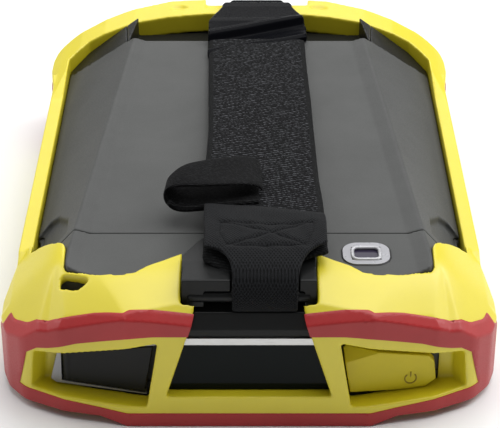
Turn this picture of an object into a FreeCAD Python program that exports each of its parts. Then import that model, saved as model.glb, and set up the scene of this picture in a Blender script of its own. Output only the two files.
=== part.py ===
"""A rugged handheld data collector, lying on its front, with its back face up.

Millimetres. +Z is up out of the back, X is across, and the end with the windows, the power key and
the strap bracket is at -Y. The origin is on the surface it lies on, under the middle of the body.
"""

import FreeCAD, Part
import os
import re
import Sketcher
from FreeCAD import Placement, Rotation, Vector

doc = FreeCAD.newDocument("data_collector")

# Driving dimensions
SIZES = {
    "body_length": 217,
    "cap_width": 150,
    "rail_width": 144,
    "far_width": 148.6,
    "rail_inner": 67.5,
    "rail_top": 30,
    "cap_top": 44.6,
    "arch_top": 43.5,
    "foot_half": 36,
    "foot_height": 2.5,
    "band_depth": 2.5,
    "end_wall": 7,
    "housing_half": 67,
    "front_face": 3,
    "split_height": 9.3,
    "seal_thickness": 0.4,
    "skin": 2.2,
    "plateau": 42,
    "crest": 43.5,
    "crest_near": 56.1,
    "crest_far": 39.8,
    "crest_bank": 5,
    "door_near": -67.6,
    "door_far": 72.5,
    "bay_floor": 24,
    "door_seat": 26,
    "clearance": 0.3,
    "channel_sill": 10,
    "bracket_half": 19.5,
    "bar_along": -100.1,
    "bar_height": 40.2,
    "bar_radius": 1.9,
    "running_fit": 0.05,
    "webbing": 1.3,
    "tab_middle": 4.6,
    "tab_width": 19,
    "strap_width": 36.5,
    "strap_thickness": 2,
    "strap_near_end": -86,
    "strap_far_end": 60,
    "strap_near_height": 48.4,
    "strap_far_height": 42.6,
    "pin_across": -54,
    "pin_along": -97.45,
    "pin_radius": 0.7,
    "glass_half": 58,
    "glass_near": -90,
    "glass_far": 74,
    "key_row": 84.5,
    "key_spacing": 22,
    "key_width": 14,
    "key_depth": 7,
    "board_height": 14,
    "board_thickness": 1.6,
    "camera_across": 35,
    "camera_along": -80,
}

sheet = doc.addObject("Spreadsheet::Sheet", "Sizes")
for row, (alias, number) in enumerate(SIZES.items(), start=1):
    sheet.set(f"A{row}", alias)
    sheet.set(f"B{row}", str(number))
    sheet.setAlias(f"B{row}", alias)
doc.recompute()

sub_parts = []


# Expressions, outlines and solids


def size(expression):
    """The number that an expression of the sheet's aliases stands for."""
    return float(sheet.evalExpression(str(expression)))


def bind(thing, prop, expression):
    """Tie a property to an expression of the sheet's aliases."""
    linked = re.sub(r"[a-z]\w+", lambda word: "Sizes." + word.group(), str(expression))
    thing.setExpression(prop, linked)


def near(distance):
    """A place along Y, measured in from the end with the windows."""
    return f"-body_length / 2 + {distance}"


def far(distance):
    """A place along Y, measured in from the other end."""
    return f"body_length / 2 - ({distance})"


def mirrored(right):
    """A closed outline from its right half, listed from one end of the middle line to the other."""
    return list(right) + [(f"-({x})", y) for x, y in reversed(right)]


def rectangle(x, y):
    """The corners of a rectangle between two pairs of limits."""
    return [(x[0], y[0]), (x[1], y[0]), (x[1], y[1]), (x[0], y[1])]


PLANES = {
    "XY": (Rotation(), Vector(0, 0, 1), "z"),
    "XZ": (Rotation(Vector(1, 0, 0), 90), Vector(0, 1, 0), "y"),
    "YZ": (Rotation(Vector(1, 1, 1), 120), Vector(1, 0, 0), "x"),
}


def draw(sketch, corners):
    """Fill a sketch with a closed outline, each corner tied to its pair of expressions."""
    points = [Vector(size(a), size(b), 0) for a, b in corners]
    for here, there in zip(points, points[1:] + points[:1]):
        sketch.addGeometry(Part.LineSegment(here, there))
    for i, (across, up) in enumerate(corners):
        following = (i + 1) % len(corners)
        sketch.addConstraint(Sketcher.Constraint("Coincident", i, 2, following, 1))
        for kind, expression in (("DistanceX", across), ("DistanceY", up)):
            number = sketch.addConstraint(Sketcher.Constraint(kind, i, 1, size(expression)))
            bind(sketch, f"Constraints[{number}]", expression)


def outline(name, plane, corners, at=0):
    """A free sketch of a closed outline, parallel to a plane and a distance from it."""
    rotation, _, axis = PLANES[plane]
    sketch = doc.addObject("Sketcher::SketchObject", name)
    sketch.Placement = Placement(Vector(), rotation)
    bind(sketch, f"Placement.Base.{axis}", at)
    draw(sketch, corners)
    return sketch


def prism(name, plane, corners, start, end):
    """An outline extruded from one distance to another along its plane's axis."""
    solid = doc.addObject("Part::Extrusion", name)
    solid.Base = outline(name + "_outline", plane, corners, start)
    solid.DirMode = "Custom"
    solid.Dir = PLANES[plane][1]
    solid.Solid = True
    bind(solid, "LengthFwd", f"({end}) - ({start})")
    doc.recompute()
    return solid


def box(name, x, y, z):
    """A box between three pairs of limits."""
    solid = doc.addObject("Part::Box", name)
    sides = {"Length": ("x", x), "Width": ("y", y), "Height": ("z", z)}
    for side, (axis, (low, high)) in sides.items():
        bind(solid, side, f"({high}) - ({low})")
        bind(solid, f"Placement.Base.{axis}", low)
    return solid


def rod(name, axis, centre, radius, ends):
    """A cylinder along X, Y or Z; centre gives its other two coordinates, in order."""
    solid = doc.addObject("Part::Cylinder", name)
    turns = {"X": Rotation(Vector(0, 1, 0), 90), "Y": Rotation(Vector(1, 0, 0), -90), "Z": Rotation()}
    solid.Placement = Placement(Vector(), turns[axis])
    bind(solid, "Radius", radius)
    bind(solid, "Height", f"({ends[1]}) - ({ends[0]})")
    places = dict(zip([letter for letter in "XYZ" if letter != axis], centre))
    places[axis] = ends[0]
    for letter, place in places.items():
        bind(solid, f"Placement.Base.{letter.lower()}", place)
    return solid


def joined(kind, name, things):
    """Several solids made into one: kind is Fuse or Common."""
    solid = doc.addObject("Part::Multi" + kind, name)
    solid.Shapes = things
    doc.recompute()
    return solid


def fuse(name, *things):
    return joined("Fuse", name, list(things))


def common(name, *things):
    return joined("Common", name, list(things))


def cut(name, base, *tools):
    """A solid with others taken away."""
    solid = doc.addObject("Part::Cut", name)
    solid.Base = base
    solid.Tool = tools[0] if len(tools) == 1 else fuse(name + "_tools", *tools)
    doc.recompute()
    return solid


def rounded(name, base, radius, along):
    """A solid with every straight edge that runs along an axis rounded."""
    doc.recompute()
    solid = doc.addObject("Part::Fillet", name)
    solid.Base = base
    chosen = []
    for number, edge in enumerate(base.Shape.Edges, start=1):
        if edge.Curve.TypeId == "Part::GeomLine" and abs(edge.Curve.Direction.dot(along)) > 0.999:
            chosen.append((number, size(radius), size(radius)))
    solid.Edges = chosen
    doc.recompute()
    return solid


UP = Vector(0, 0, 1)
ALONG = Vector(0, 1, 0)


# Sub-parts made as bodies


def keep(label, thing):
    """Mark a finished object as a sub-part, under its own label."""
    thing.Label = label
    sub_parts.append(thing)
    return thing


def add_feature(body, kind, plane, corners, start, end):
    """A pad or pocket of an outline, between two distances along its plane's axis."""
    origin = next(o for o in body.Origin.OriginFeatures if o.Role == plane + "_Plane")
    sketch = body.newObject("Sketcher::SketchObject", "Outline")
    sketch.AttachmentSupport = (origin, "")
    sketch.MapMode = "FlatFace"
    backwards = plane == "XZ"
    sign = "-" if backwards else ""
    bind(sketch, "AttachmentOffset.Base.z", f"{sign}({start})")
    draw(sketch, corners)
    feature = body.newObject("PartDesign::" + kind, kind)
    feature.Profile = sketch
    feature.Reversed = backwards if kind == "Pad" else not backwards
    bind(feature, "Length", f"({end}) - ({start})")
    doc.recompute()
    return feature


def new_body(label, plane, corners, start, end):
    """A body that starts as one pad."""
    body = doc.addObject("PartDesign::Body", label)
    add_feature(body, "Pad", plane, corners, start, end)
    return keep(label, body)


def soften(body, radius, along):
    """Round every straight edge of a body that runs along an axis."""
    edges = [
        f"Edge{number}"
        for number, edge in enumerate(body.Shape.Edges, start=1)
        if edge.Curve.TypeId == "Part::GeomLine" and abs(edge.Curve.Direction.dot(along)) > 0.999
    ]
    last = body.Tip
    fillet = body.newObject("PartDesign::Fillet", "Fillet")
    fillet.Base = (last, edges)
    bind(fillet, "Radius", radius)
    doc.recompute()


def block(label, x, y, z, radius=None):
    """A plain rectangular body, with its upright edges rounded if a radius is given."""
    body = new_body(label, "XY", rectangle(x, y), z[0], z[1])
    if radius:
        soften(body, radius, UP)
    return body


# Outer forms that several sub-parts share

TOP = 60  # higher than the whole object


def bumper_plan(name, inset, low, high):
    """The bumper seen from above: rounded ends, and flares at both caps."""
    half = {key: f"{key} / 2 - {inset}" for key in ("cap_width", "rail_width", "far_width")}
    right = [
        ("foot_half", near(inset)),
        (55, near(4.2 + inset)),
        (67 - 0.7 * inset, near(10.2 + inset)),
        (72.5 - inset, near(17 + 0.5 * inset)),
        (half["cap_width"], near(24.5)),
        (half["cap_width"], near(32)),
        (half["rail_width"], near(46)),
        (half["rail_width"], far(50.5)),
        (half["far_width"], far(32.5)),
        (half["far_width"], far(24.5)),
        (73 - inset, far(17.5 + 0.5 * inset)),
        (67 - 0.7 * inset, far(11.5 + inset)),
        (48, far(4.2 + inset)),
        (30, far(inset)),
    ]
    return rounded(name, prism(name + "_sharp", "XY", mirrored(right), low, high), 9, UP)


def housing_plan(name, grow, low, high, wall=0):
    """The casing seen from above; wall thickens its near end inwards."""
    half = f"housing_half + {grow}"
    right = [
        (30, near(f"end_wall - {grow} + {wall}")),
        (50, near(f"end_wall + 4 - {grow} + {wall}")),
        (f"housing_half - 5.5 + {grow}", near(f"end_wall + 11 - {grow} + {wall}")),
        (half, near(28)),
        (half, far(28)),
        (f"housing_half - 5.5 + {grow}", far(f"end_wall + 11 - {grow}")),
        (46, far(f"end_wall + 3.5 - {grow}")),
        (28, far(f"end_wall - {grow}")),
    ]
    return rounded(name, prism(name + "_sharp", "XY", mirrored(right), low, high), 6, UP)


def back_loft(name, inset):
    """The raised back: a shallow plateau between two crests that draw together towards the far end."""
    sections = []
    for end, place, crest_across in (("near", near(0), "crest_near"), ("far", far(0), "crest_far")):
        right = [
            (f"housing_half + 1 - {inset}", 0),
            (f"housing_half + 1 - {inset}", f"26.5 - 0.6 * {inset}"),
            (f"{crest_across} - 0.25 * {inset}", f"crest - 1.15 * {inset}"),
            (f"{crest_across} - crest_bank - 0.2 * {inset}", f"plateau - {inset}"),
        ]
        sections.append(outline(f"{name}_{end}", "XZ", mirrored(right), place))
    solid = doc.addObject("Part::Loft", name)
    solid.Sections = sections
    solid.Solid = True
    solid.Ruled = True
    doc.recompute()
    return solid


# Slopes of the near cap: how much each falls per millimetre across, how much it rises per
# millimetre along, and its height above the middle of the end
CORNER_SLOPES = [(0.455, 0.672, 53.8), (1.2, 0.6, 98)]
END_BEVELS = [(-0.135, 1, 32.4), (0.538, 0.905, 56.6), (0.769, 0.733, 70.2)]


def above_slope(name, side, inset, fall, rise, height):
    """The block of space above one slope of the near cap."""
    space = box(name, (0, 120), (0, 120), (0, 60))
    for axis in "xyz":
        space.setExpression(f"Placement.Base.{axis}", None)
    across, along = 60, 10
    normal = Vector(side * fall, -rise, 1).normalize()
    turn = Rotation(Vector(0, 0, 1), normal)
    on_slope = Vector(side * across, size(near(along)), height - fall * across + rise * along)
    space.Placement = Placement(on_slope - normal * inset - turn.multVec(Vector(60, 60, 0)), turn)
    return space


def near_crown(name, inset, low, start, end, slopes=CORNER_SLOPES):
    """The near cap: a flat top with slopes that fall to its sides, its corners and its end."""
    right = [
        ("cap_width / 2 + 1", low),
        ("cap_width / 2 + 1", 21 - inset),
        (72 - 0.73 * inset, 27.2 - 0.69 * inset),
        (56.5 - 0.73 * inset, 43.6 - 0.69 * inset),
        (52 - 0.4 * inset, f"cap_top - {inset}"),
    ]
    across = prism(name + "_across", "XZ", mirrored(right), start, end)
    profile = [
        (near(0.9 * inset), low - 1),
        (near(0.9 * inset), 37.9 - inset),
        (near(16.5 + 0.2 * inset), f"cap_top - {inset}"),
        (near(40), f"cap_top - {inset}"),
        (near(52), f"rail_top - {inset}"),
        (near(60), low - 1),
    ]
    form = common(name + "_form", across, prism(name + "_along", "YZ", profile, -80, 80))
    spaces = [
        above_slope(f"{name}_slope_{number}_{label}", side, inset, *slope)
        for number, slope in enumerate(slopes)
        for label, side in (("right", 1), ("left", -1))
    ]
    return cut(name, form, *spaces)


def arch_drop(across):
    """How far the far end's arch has fallen at a distance from the middle."""
    return 0.00067 * across**2 + 3.84e-7 * across**4


def far_arch(name, inset, low, start, end):
    """The far end's section, arched across the width."""
    right = [(76, low)]
    for across in (76, 71, 64, 55, 44, 30, 14):
        right.append((across, f"arch_top - {arch_drop(across)} - {inset}"))
    return prism(name, "XZ", mirrored(right), start, end)


def back_opening(name, shrink, low, high):
    """The opening in the bumper that shows the back: scalloped near edge, tab notches, arched far edge."""
    right = [
        (19.8, near(24.7)),
        (24.8, near(21.5 - shrink)),
        (29.9, near(18.7 - shrink)),
        (33.3, near(15.9 - shrink)),
        (36.5, near(15.2 - shrink)),
        (43.5, near(15.4 - shrink)),
        (51.1, near(18.2 - shrink)),
        (53.8 + 0.7 * shrink, near(19.6)),
        (54.6 + shrink, near(21.5)),
        (54.9 + shrink, near(30.7)),
        (55.7 + shrink, near(33.6)),
        (57.4 + 0.7 * shrink, near(35.7 - 0.7 * shrink)),
        (61.7, near(40.4 - shrink)),
        (f"rail_inner + {shrink}", near(46 - shrink)),
        (f"rail_inner + {shrink}", far(31)),
        (60.5, far(22.5 - shrink)),
        (42, far(16.2 - shrink)),
        (20, far(13.8 - shrink)),
    ]
    return prism(name, "XY", mirrored(right), low, high)


def channel(name, inset, low, high, start, end):
    """The gap in the middle of the near cap, wider at the bottom."""
    lean = 0.304
    bottom = 24.3 - inset
    right = [
        (bottom - lean * (low - 10), low),
        (bottom - lean * (high - 10), high),
    ]
    return prism(name, "XZ", mirrored(right), start, end)


# Bumper


def window(name, side):
    """One side window of the near cap, which narrows inwards."""
    outer = [(26.5, 28.8), (68.6, 20), (71.5, 8), (30.2, 6.4)]
    inner = [(26.2, 27.2), (60.4, 20.8), (61.4, 7.4), (29.4, 5.8)]
    sections = [
        outline(f"{name}_{end}", "XZ", [(side * x, z) for x, z in corners], place)
        for end, corners, place in (("outer", outer, near(0)), ("inner", inner, near(14.5)))
    ]
    solid = doc.addObject("Part::Loft", name)
    solid.Sections = sections
    solid.Solid = True
    solid.Ruled = True
    doc.recompute()
    return solid


def bumper_form():
    """The whole outer form of the bumper, before it is hollowed."""
    plan = bumper_plan("bumper_plan", 0, 0, TOP)
    near_part = near_crown("near_crown", 0, 0, near(0), near(51.2), CORNER_SLOPES + END_BEVELS)
    ramp = [
        (far(60), -1),
        (far(60), "rail_top"),
        (far(32), "rail_top + 3"),
        (far(26), TOP),
        (far(-1), TOP),
        (far(-1), -1),
    ]
    ramp = prism("far_ramp", "YZ", ramp, -80, 80)
    far_part = common("far_crown", far_arch("far_crown_arch", 0, 0, far(60), far(0)), ramp)
    rails = [(near(32), 0), (near(32), 20), (near(50), "rail_top"), (far(40), "rail_top"), (far(40), 0)]
    rails = prism("rail_zone", "YZ", rails, -76, 76)
    crowns = fuse("crowns", near_part, far_part, rails)
    form = common("bumper_rough", plan, crowns)
    raised = fuse("above_feet", under_foot("foot_right", 1), under_foot("foot_left", -1))
    middle = box("rail_underside", (-76, 76), (near(46), far(46)), (-1, "foot_height"))
    return cut("bumper_form", form, raised, middle)


def under_foot(name, side):
    """The space under the bumper beside the two feet."""
    corners = [("foot_half", -1), ("foot_half", 0), ("foot_half + 8", "foot_height"), (77, "foot_height"), (77, -1)]
    corners = [(f"{side} * ({x})", z) for x, z in corners]
    return prism(name, "XZ", corners, near(-1), far(-1))


def casing_space():
    """The space in the bumper that the casing fills."""
    grow = "clearance"
    plan = housing_plan("space_plan", grow, "front_face", TOP)
    near_part = near_crown("space_near", 2.3, 0, near(0), near(51.2))
    far_part = far_arch("space_far", 7.6, 0, far(62), far(0))
    middle = box("space_middle", (-70, 70), (near(51.2), far(60)), (0, TOP))
    crowns = fuse("space_crowns", near_part, far_part, middle)
    return common("casing_space", plan, crowns)


def lanyard_outline(grow):
    return [
        (-55.4 - grow, near(15.2)),
        (-55.2 - grow, near(18.1 + grow)),
        (-54 - grow, near(18.5 + grow)),
        (-47 + grow, near(15.2 + grow)),
        (-47.2 + grow, near(14)),
        (-50 + grow, near(12.6 - grow)),
        (-52.6, near(13.6 - grow)),
    ]


def red_zone(name, top, frame, start, end):
    """Where the bumper's end is red: between two outlines seen from that end."""
    whole = prism(name + "_whole", "XZ", mirrored([(77, -1)] + top), start, end)
    inner = prism(name + "_frame", "XZ", mirrored(frame), near(-2), far(-2))
    return cut(name, whole, inner)


def build_bumper():
    """The yellow bumper and the red band moulded into each of its ends."""
    opening = back_opening("bumper_opening", 0, 22, TOP)
    screen = prism(
        "screen_opening",
        "XY",
        mirrored([(40, near(13)), (62, near(24)), (62, far(24)), (40, far(13))]),
        -1,
        "front_face",
    )
    hook_notch = [(far(3.6), 36.5), (far(3.6), 42), (far(6.6), 43.7), (far(-1), 43.7), (far(-1), 36.5)]
    tools = [
        casing_space(),
        opening,
        screen,
        box("bracket_slot", (-19.8, 19.8), (near(4.8), near(26)), (33, TOP)),
        channel("channel", 0, 10, 46, near(-1), near(10)),
        window("window_left", -1),
        window("window_right", 1),
        prism("lanyard_hole", "XY", lanyard_outline(0), 30, TOP),
        prism("hook_notch", "YZ", hook_notch, -16.6, 22.6),
    ]
    for number, across in enumerate((-27, -13.5, 13.5, 27)):
        dimple = doc.addObject("Part::Ellipsoid", f"dimple_{number}")
        dimple.Radius1 = 1.2
        dimple.Radius2 = 3.6
        dimple.Radius3 = 1.7
        height = f"arch_top - 0.1 - {arch_drop(across)}"
        dimple.Placement.Base = Vector(across, 0, 0)
        bind(dimple, "Placement.Base.y", far(6.8))
        bind(dimple, "Placement.Base.z", height)
        tools.append(dimple)
    shell = cut("bumper_shell", bumper_form(), *tools)

    frame = [
        (36, 4),
        (44, 5),
        (56, 6.2),
        (69, 6.6),
        (66, 19.6),
        (62.5, 22.5),
        (50.5, 27),
        (35.7, 31),
        (28, 31.5),
        (15, 31.4),
    ]
    near_top = [
        (77, 18.5),
        (74.8, 20),
        (70.2, 27),
        (67.9, 27.6),
        (62.3, 29.8),
        (54.4, 33.2),
        (44.5, 36.4),
        (34.2, 38.9),
        (16.5, 38.2),
        (10, 38.2),
    ]
    far_top = [(77, 19), (70, 27.5), (58, 33), (40, 36.6), (10, 38)]
    core = bumper_plan("band_core", 2.5, -2, TOP)
    for label, top, low, high in (
        ("near_bumper_band", near_top, near(-1), near(42)),
        ("far_bumper_band", far_top, far(42), far(-1)),
    ):
        zone = cut(label + "_ring", red_zone(label + "_zone", top, frame, low, high), core)
        keep(label, common(label, shell, zone))
    zones = [doc.getObject("near_bumper_band_ring"), doc.getObject("far_bumper_band_ring")]
    keep("bumper_body", cut("bumper_body", shell, *zones))


# Casing


def casing_form():
    """The casing's outer form above the joint line."""
    low = "split_height + seal_thickness"
    body = common("casing_block", back_loft("back_outer", 0), housing_plan("casing_plan", 0, low, TOP))
    shown = common("casing_shown", body, back_opening("casing_opening", -0.4, 0, TOP))
    near_part = common("casing_near", body, near_crown("casing_crown", 2.6, 0, near(0), near(50.9)))
    far_part = common("casing_far", body, far_arch("casing_arch", 8, 0, far(60), far(0)))
    whole = fuse("casing_whole", shown, near_part, far_part)
    groove = prism(
        "hook_groove",
        "XY",
        mirrored([(44.3, "door_far"), (41.5, far(13.5))]),
        35.5,
        TOP,
    )
    notch = box("bracket_notch", (-20, 20), (near(0), near(15.8)), (33.8, TOP))
    lanyard = prism("lanyard_pocket", "XY", lanyard_outline(0.4), 27, TOP)
    floor = back_loft("pocket_floor", 1.6)
    pockets = []
    for side in (1, -1):
        corners = [(56, -64), (56.4, -53.5), (60.2, -44.5), (63.2, -42.6), (69, -47.5), (69, -64)]
        pocket = prism(f"tab_pocket_{side}", "XY", [(side * x, y) for x, y in corners], 20, TOP)
        pockets.append(cut(f"tab_recess_{side}", pocket, floor))
    return cut("casing_form", whole, groove, notch, lanyard, *pockets)


def door_zone(name, gap, low):
    """The part of the casing that comes away as the battery door."""
    right = [
        (69, f"door_near - {gap}"),
        (69, far(25)),
        (46.5, far(16)),
        (45, f"door_far + {gap}"),
    ]
    return prism(name, "XY", mirrored(right), low, TOP)


def screw_places():
    """Where the screws of the two casing halves stand."""
    return [(side * 61, y) for side in (-1, 1) for y in (-66, 0, 66)]


def posts(name, radius, low, high):
    """A round post at every casing screw."""
    rods = [
        rod(f"{name}_{number}", "Z", place, radius, (low, high))
        for number, place in enumerate(screw_places())
    ]
    return fuse(name, *rods)


PORT_RECESS = [(-25.8, -110), (-25.8, -100.1), (-61.5, -94.4), (-61.5, -110)]
KEY_RECESS = [(26.6, -110), (26.6, -98.9), (57.4, -93.8), (62, -93.8), (62, -110)]


def recess(name, corners):
    """The step in the casing's near wall behind one side window."""
    return prism(name, "XY", corners, 5.5, 25.6)


def build_rear_housing(form):
    """The near hood, side walls, battery bay and far shelf, in one shell."""
    low = "split_height + seal_thickness"
    inner = common(
        "casing_inside",
        back_loft("back_inner", 2.8),
        housing_plan("inside_plan", -2.2, 0, TOP, wall=2.8),
    )
    kept = fuse(
        "kept_walls",
        box("notch_wall", (-22.2, 22.2), (near(0), near(18)), (31.6, TOP)),
        prism("lanyard_wall", "XY", lanyard_outline(2), 25, TOP),
    )
    rooms = fuse(
        "rooms",
        box("room_below", (-70, 70), (near(0), far(0)), (0, "bay_floor - 2")),
        box("room_near", (-70, 70), (near(0), "door_near - 2.6"), (0, TOP)),
        box("room_bay", (-64.4, 64.4), ("door_near + 2", "door_far - 2"), ("bay_floor", TOP)),
        box("room_far", (-60, 60), ("door_far + 2", far(0)), (0, 33)),
    )
    hollow = cut("casing_hollow", common("casing_rooms", inner, rooms), kept)
    bosses = posts("rear_bosses", 3.2, low, "bay_floor - 1")
    camera_seat = box(
        "camera_seat_sharp",
        ("camera_across - 7.2", "camera_across + 7.2"),
        ("camera_along - 6.4", "camera_along + 6.4"),
        ("plateau - 1.2", TOP),
    )
    shell = fuse("rear_shell", cut("rear_hollowed", form, hollow), bosses)
    tools = [
        door_zone("rear_door_gap", 0.3, "door_seat"),
        posts("rear_screw_holes", 1.25, 0, 15),
        box("battery_contact_slot", (-9, 9), (-58, -54), ("bay_floor - 3", "bay_floor + 1")),
        recess("rear_key_recess", KEY_RECESS),
        recess("rear_port_recess", PORT_RECESS),
        rod("key_stem_hole", "Y", (42, 14.5), 1.8, (near(0), -85)),
        box("usb_hole", (-41.6, -32.2), (near(0), -85), (15.6, 19.2)),
        box("jack_hole", (-54.5, -46.5), (near(0), -85), (11, 18.4)),
        box("imager_hole", (-14, 14), (near(0), -90), (12.5, 24)),
        rod("camera_hole", "Z", ("camera_across", "camera_along"), 3.4, (30, TOP)),
        rounded("camera_seat", camera_seat, 4.8, UP),
        rod("bracket_hole_left", "Z", (-16.5, -84), 1.5, (30, TOP)),
        rod("bracket_hole_right", "Z", (16.5, -84), 1.5, (30, TOP)),
    ]
    shell = cut("rear_housing", shell, *tools)
    keep("rear_housing", shell)


def build_battery_door(form):
    """The full-width back cover over the battery bay, and its seal."""
    low = "door_seat + seal_thickness"
    cover = common("door_block", form, door_zone("door_zone", 0, low))
    bay = common(
        "door_hollow",
        back_loft("door_inner", 2.8),
        box("door_room", (-63, 63), ("door_near + 2", "door_far - 2"), (0, TOP)),
    )
    keep("battery_door", cut("battery_door", cover, bay))
    ring = cut(
        "door_seal_ring",
        box("door_seal_outer", (-66, 66), ("door_near + 0.3", "door_far - 0.3"), ("door_seat", low)),
        box("door_seal_inner", (-64.6, 64.6), ("door_near + 1.7", "door_far - 1.7"), ("door_seat", low)),
    )
    keep("battery_door_gasket", ring)


def build_front_housing():
    """The shallow front shell with its screen opening, key holes and screw bosses."""
    outer = housing_plan("front_outer", 0, "front_face", "split_height")
    inner = housing_plan("front_inner", -2.2, "front_face + 2", "split_height + 1", wall=2.8)
    shell = fuse("front_shell", cut("front_hollowed", outer, inner), posts("front_bosses", 3, 4, "split_height"))
    glass = ("-glass_half - 0.2", "glass_half + 0.2")
    tools = [
        box("glass_seat", glass, ("glass_near - 0.2", "glass_far + 0.2"), (0, "front_face + 1.4")),
        box("screen_hole", (-53, 53), ("glass_near + 6", "glass_far - 6"), (0, 8)),
        posts("front_screw_holes", 1.5, 0, 12),
        posts("front_head_holes", 2.6, 0, 5.2),
        box("speaker_slot", (-30, -16), (-94, -92.6), (0, 8)),
        rod("microphone_hole", "Z", (20, -93.4), 0.8, (0, 8)),
        recess("front_port_recess", PORT_RECESS),
        recess("front_key_recess", KEY_RECESS),
    ]
    for number in range(4):
        middle = f"({number} - 1.5) * key_spacing"
        tools.append(
            box(
                f"key_hole_{number + 1}",
                (f"{middle} - key_width / 2 - clearance", f"{middle} + key_width / 2 + clearance"),
                ("key_row - key_depth / 2 - clearance", "key_row + key_depth / 2 + clearance"),
                (0, 8),
            )
        )
    keep("front_housing", cut("front_housing", shell, *tools))
    low, high = "split_height", "split_height + seal_thickness"
    seal = cut(
        "casing_seal",
        housing_plan("seal_outer", -0.5, low, high),
        housing_plan("seal_inner", -1.9, low, high, wall=0.4),
        recess("seal_port_recess", PORT_RECESS),
        recess("seal_key_recess", KEY_RECESS),
    )
    keep("housing_gasket", seal)


# Near end


def build_nose():
    """The black nose in the bumper's channel, with the dark window and the bright strip above it."""
    section = [
        (near("end_wall"), 28.6),
        (near("end_wall"), 10.3),
        (near(5), 10.3),
        (near(5), 28.6),
        (near(4), 28.6),
        (near(3.8), 31),
        (near(5.6), 36.2),
        (near(6.4), 36.2),
        (near(6.4), 33.6),
        (near("end_wall"), 33.6),
    ]
    middle = prism("nose_section", "YZ", section, -30, 30)
    form = common("nose_form", middle, channel("nose_channel", 0.3, 10, 38, near(-1), near(12)))
    keep("nose_housing", cut("nose_housing", form, box("nose_hole", (-14, 14), (near(0), near(8)), (12.5, 24))))
    glass = channel("glass_channel", 0.3, 10.3, 26, near(3.8), near(5))
    keep("top_window", glass)
    keep("window_trim", channel("trim_channel", 0.3, 26.2, 28.4, near(3.5), near(5)))


def build_power_key():
    """The power key: a wide pad with a stem, its seal and its switch."""
    face = [(27.5, 23.3), (53.4, 18.4), (55.1, 16), (55.8, 9.8), (52.7, 7.4), (45, 7), (30, 7.8)]
    front = prism("key_face", "XZ", face, near(0), near(20))
    plan = prism("key_plan", "XY", [(27, -103.4), (57, -98.4), (57, -95.2), (27, -100.2)], 0, 30)
    brow = prism("key_brow", "YZ", [(-106, 16.5), (-104.6, 16.5), (-99, 24.5), (-106, 24.5)], 20, 60)
    pad = cut("key_pad", common("key_block", front, plan), brow)
    stem = rod("key_stem", "Y", (42, 14.5), 1.5, (-99, -93.6))
    keep("power_key", fuse("power_key", pad, stem))
    ring = cut(
        "key_seal_ring",
        rod("key_seal_outer", "Y", (42, 14.5), 3.6, (-93.3, -92.7)),
        rod("key_seal_inner", "Y", (42, 14.5), 1.8, (-95, -92)),
    )
    keep("power_key_seal", ring)
    switch = new_body("power_switch", "XZ", rectangle((38.8, 45.2), (11.6, 17.4)), -90.8, -87.4)
    add_feature(switch, "Pad", "XZ", rectangle((40.8, 43.2), (13.3, 15.7)), -92.5, -90.8)


def port_slab(name, front, back):
    """A slab parallel to the port door's face, between two depths behind it."""
    face = [(-26, -103.1), (-60, -97.7)]
    there = [(x, y + front) for x, y in face]
    return prism(name, "XY", there + [(x, y + back) for x, y in reversed(face)], 0, 30)


def build_port_door():
    """The black port door, which turns on an upright pin at its outer end, in a bright fixed frame."""
    pin = ("pin_across", "pin_along")
    cover = [(-28, 24.1), ("pin_across", 19.7), ("pin_across", 9.1), (-31, 7.4)]
    frame = [(-27.3, 24.9), (-56.6, 20.3), (-59.2, 9.3), (-57.6, 8.1), (-30.5, 6.7)]
    hole = [(-27, 24.5), (-55.8, 19.9), (-56, 8.9), (-30.2, 7.1)]
    slab = common("cover_slab", prism("cover_face", "XZ", cover, near(0), near(20)), port_slab("cover_depth", 0, 2.4))
    whole = fuse("cover_with_barrel", slab, rod("cover_barrel", "Z", pin, 1.5, (9.3, 19.5)))
    keep("port_door", cut("port_door", whole, rod("cover_bore", "Z", pin, "pin_radius + running_fit", (0, 30))))
    ring = cut(
        "trim_ring",
        prism("trim_face", "XZ", frame, near(0), near(20)),
        prism("trim_opening", "XZ", hole, near(-1), near(21)),
    )
    trim = common("trim_block", ring, port_slab("trim_depth", 0.25, 2.9))
    keep("port_door_trim", cut("port_door_trim", trim, rod("trim_bore", "Z", pin, "pin_radius", (0, 30))))
    keep("port_door_pin", rod("port_door_pin", "Z", pin, "pin_radius", (8.3, 20.2)))


# Strap


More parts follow.
